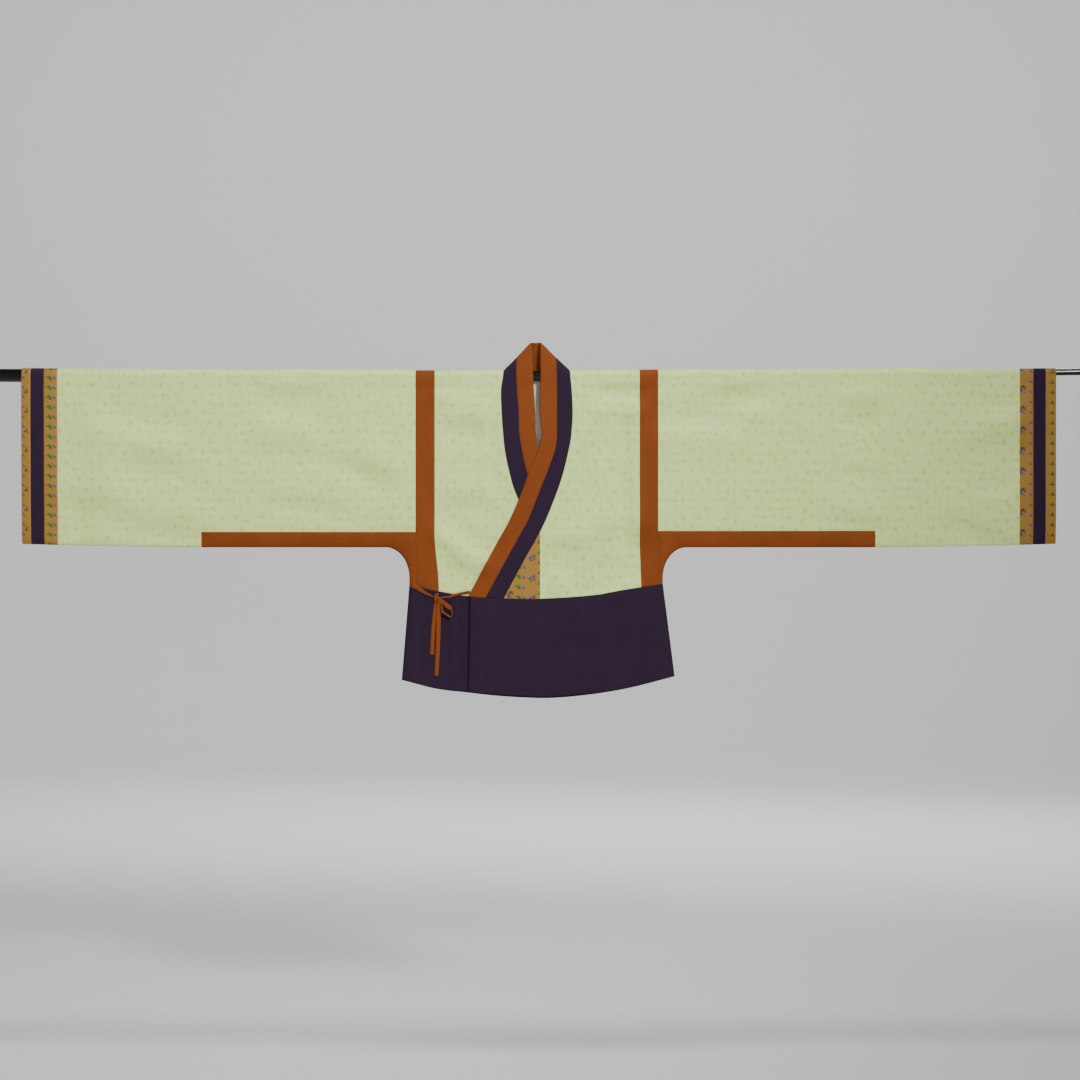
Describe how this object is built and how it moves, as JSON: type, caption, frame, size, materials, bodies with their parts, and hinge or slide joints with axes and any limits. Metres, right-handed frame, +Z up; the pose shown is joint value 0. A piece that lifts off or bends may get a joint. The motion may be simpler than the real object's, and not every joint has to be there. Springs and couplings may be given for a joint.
{
  "type": "hanfu jacket on a hanging rod",
  "caption": "Cross-collar hanfu jacket with wide straight sleeves and a waist panel, hung flat on a telescopic rod.",
  "frame": {"origin": "on the rod's axis, at the middle of the jacket", "axes": "+X along the rod towards the wearer's left sleeve, -Y out of the jacket's front, +Z up"},
  "size_m": [2.313, 0.0377, 0.7486],
  "materials": {
    "cream": "woven jacquard",
    "rust": "plain weave",
    "purple": "plain weave",
    "brocade": "brocade",
    "rod": "gloss"
  },
  "bodies": {
    "root": {"rod_wide": "rod", "rod_middle": "rod", "rod_narrow": "rod", "body_right": "cream", "body_left": "cream", "sleeve_right": "cream", "sleeve_left": "cream", "sleeve_end_right": "cream", "sleeve_end_left": "cream", "gusset_right": "brocade", "gusset_left": "brocade", "cuff_inner_right": "brocade", "cuff_inner_left": "brocade", "cuff_outer_right": "brocade", "cuff_outer_left": "brocade", "cuff_middle_right": "purple", "cuff_middle_left": "purple", "collar_seam_band": "purple", "waist_front_outer": "purple", "waist_front_inner": "purple", "waist_back": "purple", "armhole_band_right": "rust", "armhole_band_left": "rust", "underarm_strip_right": "rust", "underarm_strip_left": "rust", "collar_edge_band": "rust", "tie_side": "rust", "tie_collar": "rust", "tie_knot": "rust", "tie_loop": "rust", "tie_tail_short": "rust", "tie_tail_long": "rust"}
  },
  "joints": []
}
